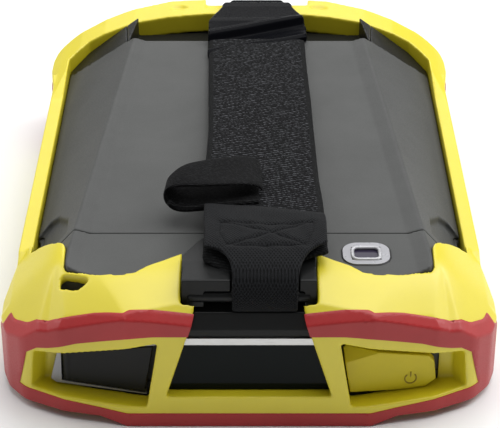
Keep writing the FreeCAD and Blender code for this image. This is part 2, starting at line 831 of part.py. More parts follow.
def build_bracket():
    """The strap bracket on the back, the bar across it and its two screws."""
    half = "bracket_half"
    plan = prism(
        "bracket_plan",
        "XY",
        mirrored([(half, near(6.8)), (half, near(20.5)), (14, near(30.5))]),
        34,
        TOP,
    )
    section = prism(
        "bracket_section",
        "YZ",
        [
            (near(6.8), 37.2),
            (near(6.8), 46.3),
            (near(17), 46.6),
            (near(30.5), 46.6),
            (near(30.5), "plateau"),
            (near(15.8), "plateau"),
            (near(15.8), 37.2),
        ],
        -20,
        20,
    )
    block_form = common("bracket_form", plan, section)
    tab_low = "tab_middle - tab_width / 2 - 0.4"
    tab_high = "tab_middle + tab_width / 2 + 0.4"
    tools = [
        box("tab_slot", (tab_low, tab_high), (near(0), near(12.6)), (30, TOP)),
        box("bar_recess", (-13, 16), (near(0), near(12)), (30, 42.4)),
        box("tab_path", (tab_low, tab_high), (near(0), near(40)), (44.9, TOP)),
        rod("bar_hole", "X", ("bar_along", "bar_height"), "bar_radius", (-17.5, 17.5)),
        rod("screw_hole_left", "Z", (-16.5, -84), 1.5, (30, 45.4)),
        rod("screw_hole_right", "Z", (16.5, -84), 1.5, (30, 45.4)),
    ]
    keep("strap_bracket", cut("strap_bracket", block_form, *tools))
    keep("strap_bar", rod("strap_bar", "X", ("bar_along", "bar_height"), "bar_radius", (-17.5, 17.5)))
    screws = []
    for number, across in enumerate((-16.5, 16.5)):
        shank = rod(f"bracket_shank_{number}", "Z", (across, -84), 1.5, (39, 45.4))
        head = rod(f"bracket_head_{number}", "Z", (across, -84), 2.6, (37, "plateau - 2.8"))
        screws.append(fuse(f"bracket_screw_{number}", shank, head))
    keep("bracket_screws", compound("bracket_screws", screws))


def compound(name, things):
    """Several separate solids in one object."""
    doc.recompute()
    group = doc.addObject("Part::Compound", name)
    group.Links = things
    doc.recompute()
    return group


def build_tab():
    """The narrow webbing that loops round the bar and runs back under the hand strap."""
    left, right = "tab_middle - tab_width / 2", "tab_middle + tab_width / 2"
    y, z = size("bar_along"), size("bar_height")
    inner = size("bar_radius + running_fit")
    outer = inner + size("webbing")
    front = [(y - outer, z), (-103, 44.9), (-101, 47.5), (-97.4, 48.5), (-86, 48.3), (-70, 47.6)]
    back = [(-70, 45.2), (-86, 45.9), (-95.3, 45.9), (y + outer, 44.6), (y + outer, z)]
    hole = [(y - inner, z), (-101.7, 44.3), (-100, 46.2), (-98.6, 46.5), (y + inner, 45.2), (y + inner, z)]
    faces = []
    for points, radius in ((front + back, outer), (hole, inner)):
        vectors = [Vector(0, *point) for point in points]
        edges = [Part.LineSegment(a, b).toShape() for a, b in zip(vectors, vectors[1:])]
        under = Part.Arc(vectors[-1], Vector(0, y, z - radius), vectors[0])
        faces.append(Part.Face(Part.Wire(edges + [under.toShape()])))
    loop = faces[0].cut(faces[1])
    tab = doc.addObject("Part::Feature", "strap_tab")
    tab.Shape = loop.extrude(Vector(size(right) - size(left), 0, 0))
    tab.Placement.Base = Vector(size(left), 0, 0)
    keep("strap_tab", tab)


def build_strap():
    """The elastic hand strap: a flat band that comes down from the bracket to the far hook."""
    sections = []
    for end, middle, place, height in (
        ("near", "tab_middle + 0.2", "strap_near_end", "strap_near_height"),
        ("far", "tab_middle - 1.6", "strap_far_end", "strap_far_height"),
    ):
        corners = rectangle(
            (f"{middle} - strap_width / 2", f"{middle} + strap_width / 2"),
            (height, f"{height} + strap_thickness"),
        )
        sections.append(outline("strap_" + end, "XZ", corners, place))
    strap = doc.addObject("Part::Loft", "hand_strap")
    strap.Sections = sections
    strap.Solid = True
    strap.Ruled = True
    doc.recompute()
    keep("hand_strap", strap)


def build_side_loop():
    """The flat pull loop sewn across the strap, open along the strap."""
    left, right, low, high = -24.5, 4.5, 49.6, 56.4
    thick = "webbing - 0.1"
    body = new_body("strap_side_loop", "XZ", rectangle((left, right), (low, high)), -64, -48.5)
    soften(body, 3.3, ALONG)
    add_feature(
        body,
        "Pocket",
        "XZ",
        rectangle((f"{left} + {thick}", f"{right} - {thick}"), (f"{low} + {thick}", f"{high} - {thick}")),
        -66,
        -46,
    )


def build_hook():
    """The moulded hook on the strap's far end, which grips the bumper's far rail."""
    middle = "tab_middle - 1.7"
    section = [
        ("strap_far_end", "strap_far_height - 0.2"),
        ("door_far + 1.2", "strap_far_height"),
        (far(16.6), 40.5),
        (far(16.6), 37),
        (far(14.4), 37),
        (far(14.4), 43.9),
        (far(6.4), 43.9),
        (far(3.2), 42.2),
        (far(3.2), 37.5),
        (far(0), 37.5),
        (far(0), 42.8),
        (far(8), 46.6),
        (far(27), 47.6),
        (far(44), 45.4),
        ("strap_far_end", "strap_far_height + strap_thickness + 0.3"),
    ]
    half = "strap_width / 2 + 0.3"
    body = new_body("strap_hook", "YZ", section, f"{middle} - {half}", f"{middle} + {half}")
    chamfer = [(f"{middle} + {half}", far(10)), (f"{middle} + {half}", far(-1)), (f"{middle} + {half} - 6.5", far(-1))]
    add_feature(body, "Pocket", "XY", chamfer, 30, TOP)
    chamfer = [(f"{middle} - {half}", far(10)), (f"{middle} - {half} + 6.5", far(-1)), (f"{middle} - {half}", far(-1))]
    add_feature(body, "Pocket", "XY", chamfer, 30, TOP)


# Front keys, screen and the parts inside


def build_front_keys():
    """Four keys in a row, each with a flange that keeps it in, on one rubber mat and a board."""
    for number in range(4):
        middle = f"({number} - 1.5) * key_spacing"
        sides = [
            (f"{middle} - key_width / 2", f"{middle} + key_width / 2"),
            ("key_row - key_depth / 2", "key_row + key_depth / 2"),
        ]
        flange = [
            (f"{middle} - key_width / 2 - 1", f"{middle} + key_width / 2 + 1"),
            ("key_row - key_depth / 2 - 1", "key_row + key_depth / 2 + 1"),
        ]
        key = block(f"front_key_{number + 1}", sides[0], sides[1], (2.2, "front_face + 2.3"), 1.5)
        add_feature(key, "Pad", "XY", rectangle(*flange), "front_face + 2.3", "front_face + 3")
    wide = ("-2 * key_spacing - 2", "2 * key_spacing + 2")
    block("front_keypad", wide, ("key_row - 5.5", "key_row + 5.5"), (6.9, 7.6), 2)
    block("key_board", wide, ("key_row - 6", "key_row + 6"), (7.8, 8.8), 1)


def build_screen():
    block("display_glass", ("-glass_half", "glass_half"), ("glass_near", "glass_far"), (3.1, 4.4), 4)
    block("lcd_panel", (-52.5, 52.5), ("glass_near + 6.5", "glass_far - 6.5"), (4.6, 8.6), 1)


def build_electronics():
    """The chassis plate, boards, shields, battery and the modules round them."""
    chassis = block("chassis", (-56, 56), (-88, 92), (10, 11.5), 6)
    for x in (-46, 46):
        for y in (-66, 62):
            add_feature(chassis, "Pad", "XY", rectangle((x - 3, x + 3), (y - 3, y + 3)), 11.5, "board_height")
    top = "board_height + board_thickness"
    add_feature(chassis, "Pad", "XY", rectangle((-40, -32), (-87, -81)), 11.5, "board_height")
    board = block("main_board", (-50, 50), (-70, 66), ("board_height", top), 3)
    for x in (-46, 46):
        for y in (-66, 62):
            add_feature(board, "Pocket", "XY", rectangle((x - 1.2, x + 1.2), (y - 1.2, y + 1.2)), "board_height - 1", 17)
    screws = []
    for number, (x, y) in enumerate([(x, y) for x in (-46, 46) for y in (-66, 62)]):
        shank = rod(f"board_shank_{number}", "Z", (x, y), 1.1, ("board_height", top))
        head = rod(f"board_head_{number}", "Z", (x, y), 2, (top, f"{top} + 1.4"))
        screws.append(fuse(f"board_screw_{number}", shank, head))
    keep("board_screws", compound("board_screws", screws))
    block("cpu_shield", (-30, 4), (-20, 20), (top, f"{top} + 2.6"), 1.5)
    block("heat_spreader", (-28, 2), (-18, 18), (f"{top} + 2.6", f"{top} + 3.2"), 1)
    block("radio_shield", (14, 40), (-30, -4), (top, f"{top} + 2.2"), 1.5)
    keep("backup_cell", rod("backup_cell", "Z", (30, 30), 10, (top, f"{top} + 3.2")))
    block("gnss_antenna", (-12.5, 12.5), (69, 91), (11.5, 15.5), 1)
    block("battery_pack", (-41, 41), (-60, 62), ("bay_floor + 0.3", 38.6), 4)
    contacts = block("battery_contacts", (-8.8, 8.8), (-57.8, -54.2), ("bay_floor - 2.4", "bay_floor + 0.2"))
    soften(contacts, 0.4, ALONG)
    block("port_board", (-44.5, -27), (-93.2, -78), ("board_height", top), 1)
    usb = new_body("usb_connector", "XZ", rectangle((-41.4, -32.4), (top, 18.9)), -97.8, -90)
    soften(usb, 1.5, ALONG)
    add_feature(usb, "Pocket", "XZ", rectangle((-40.4, -33.4), (f"{top} + 0.8", 18.1)), -99, -92)
    shell = box("jack_shell", (-54.3, -46.7), (-95, -88), (11.2, 18.2))
    jack = cut("jack_bored", shell, rod("jack_bore", "Y", (-50.5, 14.7), 2.7, (-96, -89.5)))
    keep("power_jack", fuse("power_jack", jack, rod("jack_pin", "Y", (-50.5, 14.7), 0.8, (-94, -89))))


def build_cameras():
    """The rear camera under its window and ring, and the imager behind the dark window."""
    x, y = "camera_across", "camera_along"
    outline_x, outline_y = (f"{x} - 7", f"{x} + 7"), (f"{y} - 6.2", f"{y} + 6.2")
    ring = block("camera_bezel", outline_x, outline_y, ("plateau - 1.2", "plateau + 0.3"), 4.6)
    add_feature(
        ring,
        "Pocket",
        "XY",
        rectangle((f"{x} - 4.4", f"{x} + 4.4"), (f"{y} - 3.7", f"{y} + 3.7")),
        "plateau - 2",
        "plateau + 1",
    )
    block("camera_window", (f"{x} - 4.2", f"{x} + 4.2"), (f"{y} - 3.5", f"{y} + 3.5"), ("plateau - 1.2", "plateau - 0.3"), 1.2)
    block("camera_module", (f"{x} - 5", f"{x} + 5"), (f"{y} - 5", f"{y} + 5"), (33.6, "plateau - 2.9"), 1)
    lens = rod("camera_lens", "Z", (x, y), 2.9, ("plateau - 2.9", "plateau - 1.3"))
    keep("camera_lens", lens)
    block("imager_module", (-12, 12), (near(9.5), -78), (13, 22), 1.5)
    block("speaker", (-32, -14), (-95.6, -90.4), (5.2, 9), 1.5)
    keep("microphone", rod("microphone", "Z", (20, -93.4), 2, (5.1, 6.6)))


def build_fasteners():
    """The screws that hold the casing halves together and the latches of the battery door."""
    screws = []
    for number, place in enumerate(screw_places()):
        shank = rod(f"casing_shank_{number}", "Z", place, 1.25, (5.2, 15))
        head = rod(f"casing_head_{number}", "Z", place, 2.3, (3.4, 5.2))
        screws.append(fuse(f"casing_screw_{number}", shank, head))
    keep("housing_screws", compound("housing_screws", screws))
    latches = [
        box(f"latch_{side}", (side * 30 - 5, side * 30 + 5), ("door_far + 0.3", "door_far + 4"), (35.5, 37.4))
        for side in (-1, 1)
    ]
    keep("door_latches", compound("door_latches", latches))


# Assembly


def check_everything():
    """Stop if any object failed or any sub-part is not a good solid."""
    doc.recompute()
    for thing in doc.Objects:
        if "Invalid" in thing.State or "Error" in thing.State:
            raise SystemExit(f"{thing.Name} is {thing.State}")
    for thing in sub_parts:
        shape = thing.Shape
        if shape.isNull() or not shape.isValid() or not shape.Solids or shape.Volume <= 0:
            raise SystemExit(f"{thing.Label} is not a good solid")


def main():
    build_bumper()
    form = casing_form()
    build_rear_housing(form)
    build_battery_door(form)
    build_front_housing()
    build_nose()
    build_power_key()
    build_port_door()
    build_bracket()
    build_tab()
    build_strap()
    build_side_loop()
    build_hook()
    build_front_keys()
    build_screen()
    build_electronics()
    build_cameras()
    build_fasteners()
    check_everything()
    os.makedirs("parts", exist_ok=True)
    for thing in sub_parts:
        thing.Shape.exportStep(f"parts/{thing.Label}.step")
        solids = len(thing.Shape.Solids)
        print(f"{thing.Label}: {solids} solid(s), {thing.Shape.Volume:.0f} mm3, {thing.Shape.BoundBox}")


main()
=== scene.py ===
"""The looks of a rugged data collector that lies on its screen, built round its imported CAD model."""

import math

import bmesh
import bpy
import numpy as np
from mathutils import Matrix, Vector


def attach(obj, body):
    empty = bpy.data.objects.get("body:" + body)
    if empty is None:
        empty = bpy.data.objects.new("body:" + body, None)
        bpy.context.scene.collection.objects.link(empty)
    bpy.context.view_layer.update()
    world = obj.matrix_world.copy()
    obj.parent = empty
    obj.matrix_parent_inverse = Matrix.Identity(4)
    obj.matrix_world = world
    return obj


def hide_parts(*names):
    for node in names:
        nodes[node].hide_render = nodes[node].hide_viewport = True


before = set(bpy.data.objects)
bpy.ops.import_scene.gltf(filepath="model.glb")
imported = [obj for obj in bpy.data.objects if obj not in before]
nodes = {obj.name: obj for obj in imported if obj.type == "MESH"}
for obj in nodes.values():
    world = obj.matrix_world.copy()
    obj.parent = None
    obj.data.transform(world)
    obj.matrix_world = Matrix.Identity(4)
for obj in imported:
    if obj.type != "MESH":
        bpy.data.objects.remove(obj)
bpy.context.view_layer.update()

MM = 0.001
DEVICE = "device"
STRAP = "strap_body"


# Small tools


def smoothstep(low, high, value):
    """0 below low, 1 above high, and an S-curve between."""
    t = np.clip((value - low) / (high - low), 0, 1)
    return t * t * (3 - 2 * t)


def new_object(name, mesh):
    """An object in the scene, made of a mesh, light or camera."""
    piece = bpy.data.objects.new(name, mesh)
    bpy.context.scene.collection.objects.link(piece)
    return piece


def mesh_piece(name, points, faces, body):
    """A mesh from points in millimetres, riding on a body."""
    mesh = bpy.data.meshes.new(name)
    mesh.from_pydata([tuple(c * MM for c in point) for point in points], [], faces)
    mesh.validate()
    piece = new_object(name, mesh)
    tidy_normals(mesh)
    round_off(mesh)
    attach(piece, body)
    return piece


def round_off(mesh):
    """Shade a mesh as one curved surface."""
    mesh.polygons.foreach_set("use_smooth", [True] * len(mesh.polygons))


def tidy_normals(mesh):
    """Merge doubled points, and make every face of a closed mesh point outwards."""
    work = bmesh.new()
    work.from_mesh(mesh)
    bmesh.ops.remove_doubles(work, verts=work.verts, dist=1e-7)
    bmesh.ops.recalc_face_normals(work, faces=work.faces)
    work.to_mesh(mesh)
    work.free()


def apply_modifiers(piece):
    """Replace a piece's mesh by what its modifiers make of it."""
    depsgraph = bpy.context.evaluated_depsgraph_get()
    made = bpy.data.meshes.new_from_object(piece.evaluated_get(depsgraph))
    piece.modifiers.clear()
    piece.data = made


def softened(name, node_names, voxel, passes, body=DEVICE, decimate=1.0, shape=None, standing_for=None):
    """A copy of some CAD nodes as one moulded form, with its edges rounded.

    It stands for all those nodes, or only for the ones in standing_for. voxel is in mm, passes is how often the
    surface is smoothed, and shape bends the surface before that.
    """
    work = bmesh.new()
    for node in node_names:
        work.from_mesh(nodes[node].data)
    mesh = bpy.data.meshes.new(name)
    work.to_mesh(mesh)
    work.free()
    piece = new_object(name, mesh)
    remesh = piece.modifiers.new("Remesh", "REMESH")
    remesh.mode = "VOXEL"
    remesh.voxel_size = voxel * MM
    if shape:
        apply_modifiers(piece)
        shape(piece)
    smooth = piece.modifiers.new("Smooth", "SMOOTH")
    smooth.factor = 0.5
    smooth.iterations = passes
    if decimate < 1:
        reduce = piece.modifiers.new("Reduce", "DECIMATE")
        reduce.ratio = decimate
    apply_modifiers(piece)
    piece.data.materials.clear()
    round_off(piece.data)
    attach(piece, body)
    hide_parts(*(standing_for or node_names))
    return piece


# Edges that turn more than this, in degrees, stay sharp on a crisp piece
SHARP_ANGLE = 24
# How often a crisp piece's long edges may be halved
HALVINGS = 7


def crisp(name, node, longest, swell, shape):
    """A copy of a CAD node with its corners kept, cut into small faces, bent by shape if there is one, and swollen.

    longest, the length that an edge may have, and swell are in mm.
    """
    work = bmesh.new()
    work.from_mesh(nodes[node].data)
    bmesh.ops.remove_doubles(work, verts=work.verts, dist=1e-6)
    for _ in range(HALVINGS):
        wide = [edge for edge in work.edges if edge.calc_length() > longest * MM]
        if not wide:
            break
        bmesh.ops.subdivide_edges(work, edges=wide, cuts=1)
        bmesh.ops.triangulate(work, faces=[face for face in work.faces if len(face.verts) > 3])
    mesh = bpy.data.meshes.new(name)
    work.to_mesh(mesh)
    work.free()
    piece = new_object(name, mesh)
    if shape:
        shape(piece)
    puff = piece.modifiers.new("Swell", "DISPLACE")
    puff.strength = swell * MM
    puff.mid_level = 0
    apply_modifiers(piece)
    piece.data.materials.clear()
    round_off(piece.data)
    piece.data.set_sharp_from_angle(angle=math.radians(SHARP_ANGLE))
    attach(piece, DEVICE)
    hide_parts(node)
    return piece


# Materials


def shader(name, color, roughness, **inputs):
    """A new material with a principled shader, and the node tree's own tools."""
    material = bpy.data.materials.new(name)
    material.use_nodes = True
    tree = material.node_tree
    principled = tree.nodes["Principled BSDF"]
    principled.inputs["Base Color"].default_value = (*color, 1)
    principled.inputs["Roughness"].default_value = roughness
    for key, value in inputs.items():
        principled.inputs[key.replace("_", " ")].default_value = value
    return material, tree, principled


def add(tree, kind, values=None, **properties):
    """A new node, with its properties and its unlinked inputs set."""
    node = tree.nodes.new(kind)
    for key, value in properties.items():
        setattr(node, key, value)
    for key, value in (values or {}).items():
        node.inputs[key].default_value = value
    return node


def link(tree, source, output, target, into):
    """Join one node's output to another's input."""
    tree.links.new(source.outputs[output], target.inputs[into])


def place(tree):
    """A node whose Object output is the point being shaded, in metres."""
    return add(tree, "ShaderNodeTexCoord")


def noise(tree, coordinates, scale, detail, roughness=0.5):
    """Noise whose grains are about 1 / scale metres."""
    node = add(tree, "ShaderNodeTexNoise", {"Scale": scale, "Detail": detail, "Roughness": roughness})
    link(tree, coordinates, "Object", node, "Vector")
    return node


def spread(tree, source, output, low, high, from_low=0.3, from_high=0.7):
    """A value brought from one range to another."""
    values = {"From Min": from_low, "From Max": from_high, "To Min": low, "To Max": high}
    node = add(tree, "ShaderNodeMapRange", values)
    link(tree, source, output, node, "Value")
    return node


def tint(tree, principled, factor, dark, light):
    """Base colour between two colours."""
    mix = add(tree, "ShaderNodeMix", data_type="RGBA")
    mix.inputs["A"].default_value = (*dark, 1)
    mix.inputs["B"].default_value = (*light, 1)
    tree.links.new(factor.outputs[0], mix.inputs[0])
    tree.links.new(mix.outputs[2], principled.inputs["Base Color"])


def bump(tree, principled, sources):
    """Surface relief from (node, output, height in mm) triples, one on the other."""
    last = None
    for source, output, height in sources:
        node = add(tree, "ShaderNodeBump", {"Strength": 1.0, "Distance": height * MM})
        link(tree, source, output, node, "Height")
        if last:
            link(tree, last, "Normal", node, "Normal")
        last = node
    link(tree, last, "Normal", principled, "Normal")


def moulded(name, color, roughness, grain, grain_size, variation, **inputs):
    """Moulded plastic or rubber: fine grain, faint mottling and uneven gloss. Both grain values are in mm."""
    material, tree, principled = shader(name, color, roughness, **inputs)
    where = place(tree)
    mottle = noise(tree, where, 60, 5, 0.6)
    fine = noise(tree, where, 1 / (grain_size * MM), 2)
    factor = spread(tree, mottle, "Fac", 0, 1)
    dark = [c * (1 - variation) for c in color]
    light = [min(1, c * (1 + variation)) for c in color]
    tint(tree, principled, factor, dark, light)
    gloss = spread(tree, fine, "Fac", max(0.05, roughness - 0.08), min(1, roughness + 0.08))
    tree.links.new(gloss.outputs[0], principled.inputs["Roughness"])
    bump(tree, principled, [(fine, "Fac", grain), (mottle, "Fac", grain)])
    return material


def ripple(tree, length, output, pitch, offset=None):
    """A smooth wave from 0 to 1, one for every pitch millimetres of a length in metres."""
    scaled = add(tree, "ShaderNodeMath", {1: 2 * math.pi / (pitch * MM)}, operation="MULTIPLY")
    link(tree, length, output, scaled, 0)
    if offset:
        scaled = times(tree, scaled, offset, "ADD")
    sine = add(tree, "ShaderNodeMath", operation="SINE")
    tree.links.new(scaled.outputs[0], sine.inputs[0])
    return spread(tree, sine, 0, 0, 1, -1, 1)


def wave(tree, coordinates, axis, pitch, offset, output):
    """A smooth wave from 0 to 1 along an axis, one every pitch millimetres and shifted by an offset."""
    split = add(tree, "ShaderNodeSeparateXYZ")
    link(tree, coordinates, output, split, "Vector")
    return ripple(tree, split, axis, pitch, offset)


def times(tree, a, b, operation="MULTIPLY"):
    """Two nodes' values multiplied, or joined by another operation."""
    node = add(tree, "ShaderNodeMath", operation=operation)
    tree.links.new(a.outputs[0], node.inputs[0])
    tree.links.new(b.outputs[0], node.inputs[1])
    return node


def woven(name, dark, light, rib, slant=0.27, relief=0.12):
    """Ribbed cloth whose weft runs across at a slant, with its rib crests and uneven yarn flecks painted lighter as
    painted highlights.
    """
    material, tree, principled = shader(name, dark, 0.85)
    principled.inputs["Sheen Weight"].default_value = 0.03
    principled.inputs["Specular IOR Level"].default_value = 0.08
    where = place(tree)
    wander = noise(tree, where, 70, 2)
    shift = spread(tree, wander, "Fac", -1.1, 1.1)
    turned = add(tree, "ShaderNodeMapping", {"Rotation": (0, 0, math.atan(slant))})
    link(tree, where, "Object", turned, "Vector")
    ribs = wave(tree, turned, "Y", rib, shift, "Vector")
    long = add(tree, "ShaderNodeMapping", {"Scale": (0.7, 1, 1)})
    link(tree, turned, "Vector", long, "Vector")
    yarn = add(tree, "ShaderNodeTexNoise", {"Scale": 1 / (0.6 * MM), "Detail": 2.0, "Roughness": 0.6})
    link(tree, long, "Vector", yarn, "Vector")
    sharp = spread(tree, yarn, "Fac", 0.25, 1, 0.4, 0.66)
    # Painted highlights: the colour goes light where rib crests and yarn flecks meet
    fleck_highlight = times(tree, ribs, sharp)
    lit = spread(tree, fleck_highlight, 0, 0, 1, 0.4, 1.0)
    tint(tree, principled, lit, dark, light)
    bump(tree, principled, [(ribs, 0, relief), (sharp, 0, 0.08)])
    return material


def twill(name, dark, light, pitch):
    """Webbing with two sets of diagonal yarns that cross in small diamonds, their crests painted lighter as painted
    highlights.
    """
    material, tree, principled = shader(name, dark, 0.8)
    principled.inputs["Sheen Weight"].default_value = 0.03
    principled.inputs["Specular IOR Level"].default_value = 0.1
    where = place(tree)
    split = add(tree, "ShaderNodeSeparateXYZ")
    link(tree, where, "Object", split, "Vector")
    length = add(tree, "ShaderNodeMath", operation="SUBTRACT")
    tree.links.new(split.outputs["Y"], length.inputs[0])
    tree.links.new(split.outputs["Z"], length.inputs[1])
    waves = []
    for operation in ("ADD", "SUBTRACT"):
        diagonal = add(tree, "ShaderNodeMath", operation=operation)
        tree.links.new(split.outputs["X"], diagonal.inputs[0])
        tree.links.new(length.outputs[0], diagonal.inputs[1])
        waves.append(ripple(tree, diagonal, 0, pitch))
    lattice = times(tree, *waves, "MAXIMUM")
    fuzz = noise(tree, where, 1 / (0.3 * MM), 2)
    # Painted highlights: the colour goes light on the crests of the yarns
    lit = spread(tree, times(tree, lattice, fuzz), 0, 0, 1, 0.25, 0.62)
    tint(tree, principled, lit, dark, light)
    bump(tree, principled, [(lattice, 0, 0.16), (fuzz, "Fac", 0.04)])
    return material


def glossy(name, color, roughness, **inputs):
    """Smooth glass or lacquer, with faint wipe marks in its gloss."""
    material, tree, principled = shader(name, color, roughness, **inputs)
    marks = noise(tree, place(tree), 150, 4)
    gloss = spread(tree, marks, "Fac", roughness * 0.7, roughness * 1.4)
    tree.links.new(gloss.outputs[0], principled.inputs["Roughness"])
    return material


def metal(name, color, roughness):
    """Bare or plated metal with fine scratches across it."""
    material, tree, principled = shader(name, color, roughness, Metallic=1.0)
    where = place(tree)
    stretch = add(tree, "ShaderNodeMapping", {"Scale": (60, 900, 900)})
    link(tree, where, "Object", stretch, "Vector")
    scratches = add(tree, "ShaderNodeTexNoise", {"Scale": 4.0, "Detail": 3.0})
    link(tree, stretch, "Vector", scratches, "Vector")
    gloss = spread(tree, scratches, "Fac", roughness * 0.7, roughness * 1.3)
    tree.links.new(gloss.outputs[0], principled.inputs["Roughness"])
    bump(tree, principled, [(scratches, "Fac", 0.004)])
    return material


YELLOW = moulded("yellow_rubber", (0.68, 0.575, 0.014), 0.42, 0.008, 0.35, 0.03, Specular_IOR_Level=0.8)
RED = moulded("red_rubber", (0.37, 0.018, 0.019), 0.42, 0.012, 0.4, 0.08, Specular_IOR_Level=0.45)
KEY_YELLOW = moulded("yellow_key", (0.60, 0.50, 0.010), 0.42, 0.006, 0.3, 0.05, Specular_IOR_Level=0.4)
# Darker yellow for the power sign: painted shade, standing in for the shade in the sign's engraved grooves
KEY_SIGN_SHADE = moulded("yellow_key_sign_shade", (0.30, 0.22, 0.01), 0.5, 0.008, 0.3, 0.05)
GREY = moulded("grey_casing", (0.066, 0.0675, 0.066), 0.55, 0.016, 0.4, 0.08, Specular_IOR_Level=0.22)
BLACK = moulded("black_plastic", (0.006, 0.0065, 0.0065), 0.4, 0.010, 0.35, 0.15, Specular_IOR_Level=0.22)
HOOK_BLACK = moulded("hook_plastic", (0.0025, 0.0027, 0.0038), 0.3, 0.003, 0.5, 0.15, Specular_IOR_Level=0.03)
SILICONE = moulded("silicone", (0.02, 0.02, 0.02), 0.6, 0.01, 0.5, 0.1)
BOARD = moulded("circuit_board", (0.01, 0.08, 0.03), 0.4, 0.01, 0.5, 0.2)
WRAP = moulded("battery_wrap", (0.02, 0.02, 0.025), 0.4, 0.005, 0.5, 0.1)
CERAMIC = moulded("ceramic", (0.6, 0.55, 0.42), 0.35, 0.005, 0.4, 0.05)
DARK_GLASS = glossy("dark_glass", (0.0025, 0.0045, 0.0045), 0.08, Specular_IOR_Level=0.1)
SCREEN_GLASS = glossy("screen_glass", (0.006, 0.006, 0.008), 0.06)
LENS_GLASS = glossy("lens_glass", (0.03, 0.024, 0.045), 0.05, Specular_IOR_Level=0.15)
LENS_BLACK = glossy("lens_black", (0.01, 0.01, 0.02), 0.1)
SILVER = glossy("silver_plastic", (0.30, 0.30, 0.32), 0.3, Metallic=0.2)
SILVER_RING = glossy("silver_ring", (0.45, 0.45, 0.47), 0.25, Metallic=0.2)
TRIM = metal("bright_trim", (0.58, 0.58, 0.57), 0.4)
STEEL = metal("steel", (0.6, 0.6, 0.6), 0.3)
MAGNESIUM = metal("magnesium", (0.4, 0.4, 0.4), 0.45)
GOLD = metal("contacts", (0.8, 0.6, 0.25), 0.25)
ELASTIC = woven("elastic", (0.0015, 0.0016, 0.002), (0.090, 0.093, 0.101), 1.25)
# Darker plain cloth for the elastic's selvedges, also put on its end as painted shadow
SELVEDGE_AND_END_SHADE = woven("selvedge_and_end_shade", (0.004, 0.0042, 0.0044), (0.016, 0.017, 0.018), 0.8)
LOOP_CLOTH = woven("loop_cloth", (0.003, 0.003, 0.0034), (0.022, 0.023, 0.024), 0.6, 0.1)
TWILL = twill("tab_twill", (0.0025, 0.0026, 0.003), (0.017, 0.018, 0.020), 1.0)
THREAD = woven("thread", (0.002, 0.002, 0.0025), (0.014, 0.014, 0.016), 0.5)

NODE_MATERIALS = {
    YELLOW: ["bumper_body"],
    RED: ["near_bumper_band", "far_bumper_band"],
    KEY_YELLOW: ["power_key"],
    GREY: ["rear_housing", "battery_door", "front_housing"],
    BLACK: [
        "door_latches", "camera_module", "nose_housing", "imager_module", "port_door", "power_jack",
        "power_switch", "strap_bracket", "strap_bar", "speaker", "microphone",
    ],
    SILICONE: [
        "housing_gasket", "battery_door_gasket", "power_key_seal", "front_key_1", "front_key_2",
        "front_key_3", "front_key_4", "front_keypad",
    ],
    BOARD: ["port_board", "key_board", "main_board"],
    WRAP: ["battery_pack"],
    CERAMIC: ["gnss_antenna"],
    DARK_GLASS: ["top_window"],
    SCREEN_GLASS: ["display_glass", "lcd_panel"],
    LENS_GLASS: ["camera_window"],
    LENS_BLACK: ["camera_lens"],
    SILVER: ["camera_bezel", "port_door_trim"],
    TRIM: ["window_trim"],
    STEEL: [
        "port_door_pin", "usb_connector", "bracket_screws", "board_screws", "cpu_shield", "radio_shield",
        "backup_cell", "housing_screws",
    ],
    MAGNESIUM: ["chassis", "heat_spreader"],
    GOLD: ["battery_contacts"],
    ELASTIC: ["hand_strap"],
    LOOP_CLOTH: ["strap_side_loop"],
    TWILL: ["strap_tab"],
    HOOK_BLACK: ["strap_hook"],
}


def paint(piece, material):
    """Give a piece one material."""
    piece.data.materials.clear()
    piece.data.materials.append(material)


def paint_nodes():
    """Give every CAD node its procedural material."""
    for material, names in NODE_MATERIALS.items():
        for name in names:
            for index in range(len(nodes[name].material_slots)):
                nodes[name].material_slots[index].material = material


# Bumper and casing

# The near cap's slopes: fall across, rise along and height at the middle of the end, in mm
CAP_SLOPES = [
    (0, 0.406, 37.9), (0.455, 0.672, 53.8), (1.2, 0.6, 98), (1.058, 0, 103.38), (0.222, 0, 56.14), (0, 0, 44.6),
]
# How far the slopes run into each other, and how far the blended cap is lifted to make up for it, in mm
CAP_SOFTNESS = 1.7
CAP_RAISE = 0.5
BODY_END = -108.5
# Beyond this the casing's step under the far rail is painted black: painted shade for the step lying in shadow
FAR_STEP_SHADE_LINE = 72.5


def coordinates(piece):
    """A piece's points in millimetres."""
    points = np.empty(len(piece.data.vertices) * 3)
    piece.data.vertices.foreach_get("co", points)
    return points.reshape(-1, 3) / MM


def centres(piece):
    """The middles of a piece's faces, in millimetres, one row for each of x, y and z."""
    middles = np.empty(len(piece.data.polygons) * 3)
    piece.data.polygons.foreach_get("center", middles)
    return middles.reshape(-1, 3).T / MM


def move_to(piece, points):
    """Put a piece's points at places in millimetres."""
    piece.data.vertices.foreach_set("co", (points * MM).ravel())
    piece.data.update()


def blend_cap(piece):
    """Turn the creases between the near cap's slopes into one flowing surface."""
    points = coordinates(piece)
    x, along, z = np.abs(points[:, 0]), points[:, 1] - BODY_END, points[:, 2]
    heights = np.stack([height - fall * x + rise * along for fall, rise, height in CAP_SLOPES])
    hard = heights.min(axis=0)
    soft = hard - CAP_SOFTNESS * np.log(np.exp((hard - heights) / CAP_SOFTNESS).sum(axis=0))
    weight = smoothstep(hard - 9, hard - 4, z) * (1 - smoothstep(40, 50, along))
    fade = 0.6 + 0.4 * smoothstep(4, 22, along)
    points[:, 2] += (soft - hard + CAP_RAISE) * weight * fade
    move_to(piece, points)


def build_bumper():
    """The bumper's yellow body under its red bands, with moulded edges."""
    bands = ["near_bumper_band", "far_bumper_band"]
    body = softened(
        "bumper_skin", ["bumper_body", *bands], 0.4, 12, decimate=0.22, shape=blend_cap, standing_for=["bumper_body"]
    )
    paint(body, YELLOW)
    for band in bands:
        skin = crisp(band + "_skin", band, 1.1, 0.3, blend_cap if band.startswith("near") else None)
        paint(skin, RED)


